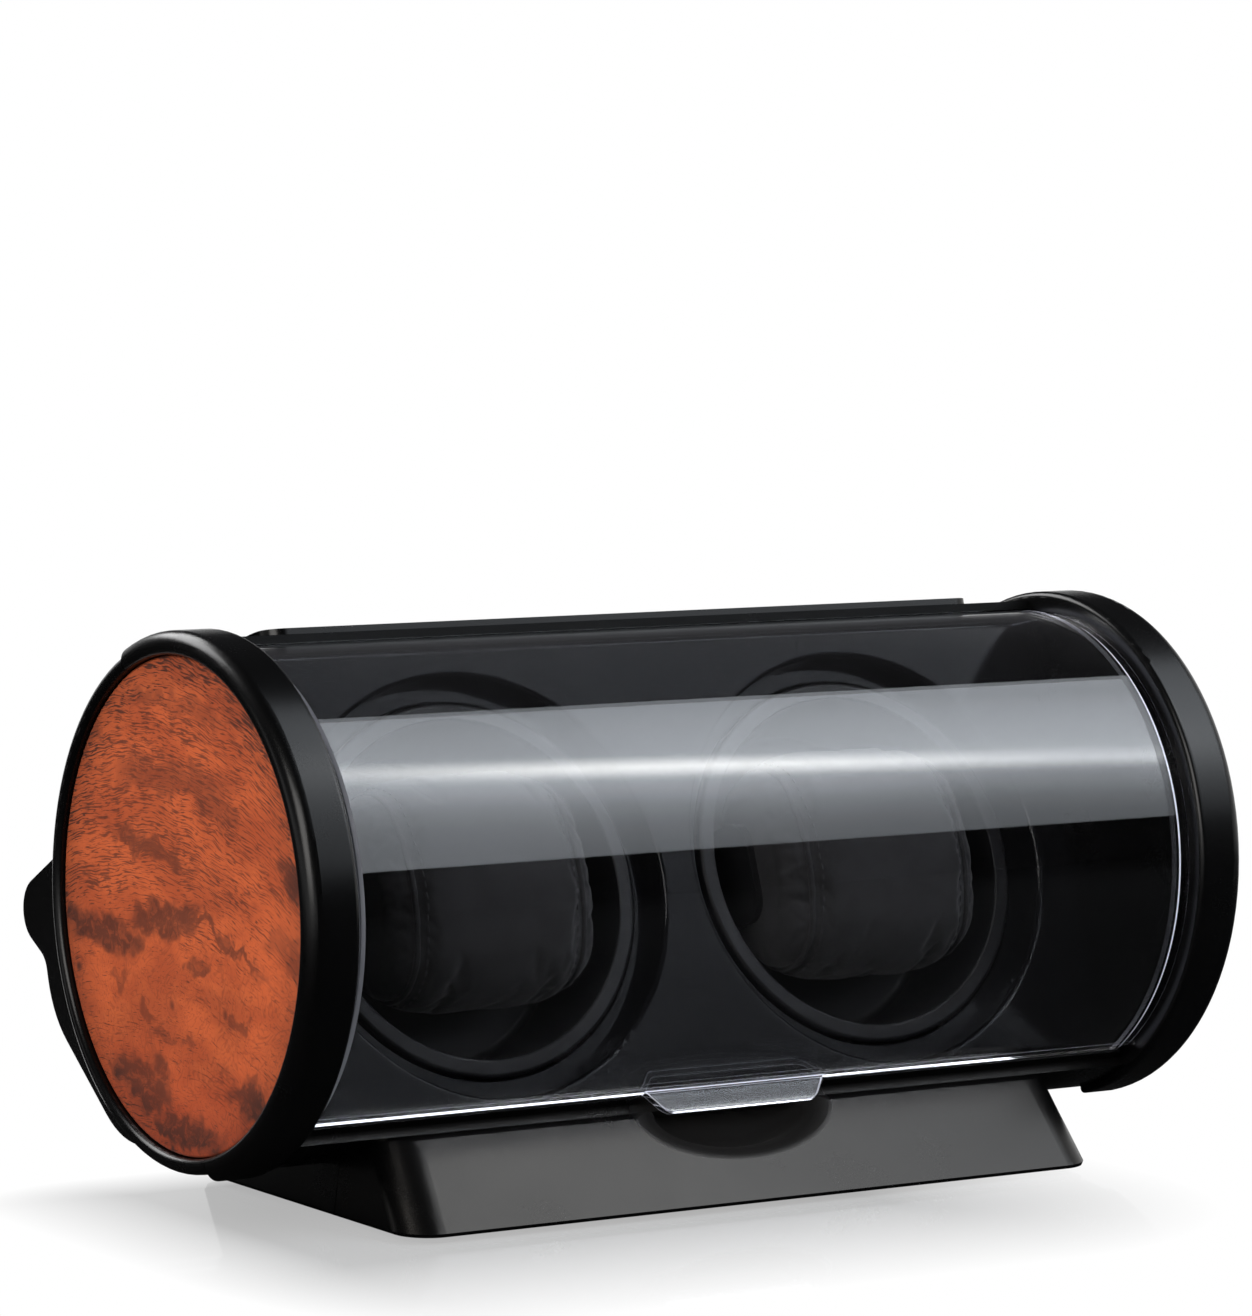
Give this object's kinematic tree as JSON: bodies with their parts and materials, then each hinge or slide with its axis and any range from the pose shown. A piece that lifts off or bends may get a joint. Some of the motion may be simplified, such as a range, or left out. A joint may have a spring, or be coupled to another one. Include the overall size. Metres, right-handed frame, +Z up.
{
  "type": "watch winder box",
  "caption": "Horizontal cylinder watch winder with wood end discs, a clear lid that rolls back and belt-driven turning cups with watch cushions, on a low flared base.",
  "frame": {"origin": "on the table, under the middle of the box", "axes": "+X along the cylinder to the right-hand end, -Y to the front, +Z up"},
  "size_m": [0.2548, 0.1424, 0.1333],
  "materials": {
    "black_satin": "satin moulded plastic",
    "base_black": "fine moulded texture",
    "foot_rubber": "matte",
    "screw_steel": "plated",
    "panel_gloss": "polished",
    "carrier_steel": "zinc plated sheet",
    "board_green": "solder mask",
    "inlet_black": "moulded",
    "burl_wood": "lacquered burl veneer",
    "bush_brass": "turned",
    "motor_case": "drawn can",
    "belt_rubber": "matte",
    "lid_acrylic": "clear, polished",
    "cup_black": "fine moulded texture",
    "cushion_fabric": "short pile",
    "shaft_steel": "ground",
    "pulley_white": "moulded",
    "knob_black": "satin"
  },
  "bodies": {
    "housing": {"front_frame": "black_satin", "rear_shell": "black_satin", "top_strip": "black_satin", "base_plate": "base_black", "rubber_feet": "foot_rubber", "base_screws": "screw_steel", "inner_panel": "panel_gloss", "carrier_plate": "carrier_steel", "panel_screws": "screw_steel", "carrier_screws": "screw_steel", "motor_screws": "screw_steel", "circuit_board": "board_green", "dc_inlet": "inlet_black", "left_end_plate": "black_satin", "left_wood_disc": "burl_wood", "left_drum_bush": "bush_brass", "left_gear_motor": "motor_case", "left_drive_belt": "belt_rubber", "left_mode_switch": "inlet_black", "right_end_plate": "black_satin", "right_wood_disc": "burl_wood", "right_drum_bush": "bush_brass", "right_gear_motor": "motor_case", "right_drive_belt": "belt_rubber", "right_mode_switch": "inlet_black"},
    "lid": {"clear_lid": "lid_acrylic"},
    "left_drum": {"left_winder_cup": "cup_black", "left_cushion_holder": "cup_black", "left_watch_cushion": "cushion_fabric", "left_drum_shaft": "shaft_steel", "left_shaft_clip": "shaft_steel", "left_drum_pulley": "pulley_white"},
    "left_motor_drive": {"left_motor_pulley": "pulley_white"},
    "left_knob": {"left_mode_knob": "knob_black"},
    "right_drum": {"right_winder_cup": "cup_black", "right_cushion_holder": "cup_black", "right_watch_cushion": "cushion_fabric", "right_drum_shaft": "shaft_steel", "right_shaft_clip": "shaft_steel", "right_drum_pulley": "pulley_white"},
    "right_motor_drive": {"right_motor_pulley": "pulley_white"},
    "right_knob": {"right_mode_knob": "knob_black"}
  },
  "joints": [
    {"name": "lid_roll", "type": "hinge", "parent": "housing", "child": "lid", "pos_m": [0, -0.0096, 0.0717], "axis": [-1, 0, 0], "range_deg": [0, 118]},
    {"name": "left_drum_spin", "type": "hinge", "parent": "housing", "child": "left_drum", "pos_m": [-0.05383, -0.01015, 0.0702], "axis": [0, -0.9397, 0.342], "continuous": true},
    {"name": "left_motor_spin", "type": "hinge", "parent": "housing", "child": "left_motor_drive", "pos_m": [-0.018, -0.01015, 0.0702], "axis": [0, -0.9397, 0.342], "continuous": true},
    {"name": "left_knob_turn", "type": "hinge", "parent": "housing", "child": "left_knob", "pos_m": [-0.03, 0.05856, 0.07358], "axis": [0, 0.4953, 0.8687], "range_deg": [0, 150]},
    {"name": "right_drum_spin", "type": "hinge", "parent": "housing", "child": "right_drum", "pos_m": [0.05383, -0.01015, 0.0702], "axis": [0, -0.9397, 0.342], "continuous": true},
    {"name": "right_motor_spin", "type": "hinge", "parent": "housing", "child": "right_motor_drive", "pos_m": [0.018, -0.01015, 0.0702], "axis": [0, -0.9397, 0.342], "continuous": true},
    {"name": "right_knob_turn", "type": "hinge", "parent": "housing", "child": "right_knob", "pos_m": [0.03, 0.05856, 0.07358], "axis": [0, 0.4953, 0.8687], "range_deg": [0, 150]}
  ],
  "couplings": [
    {"joint": "left_motor_spin", "follows": "left_drum_spin", "ratio": 2.6174},
    {"joint": "right_motor_spin", "follows": "right_drum_spin", "ratio": 2.6174}
  ]
}
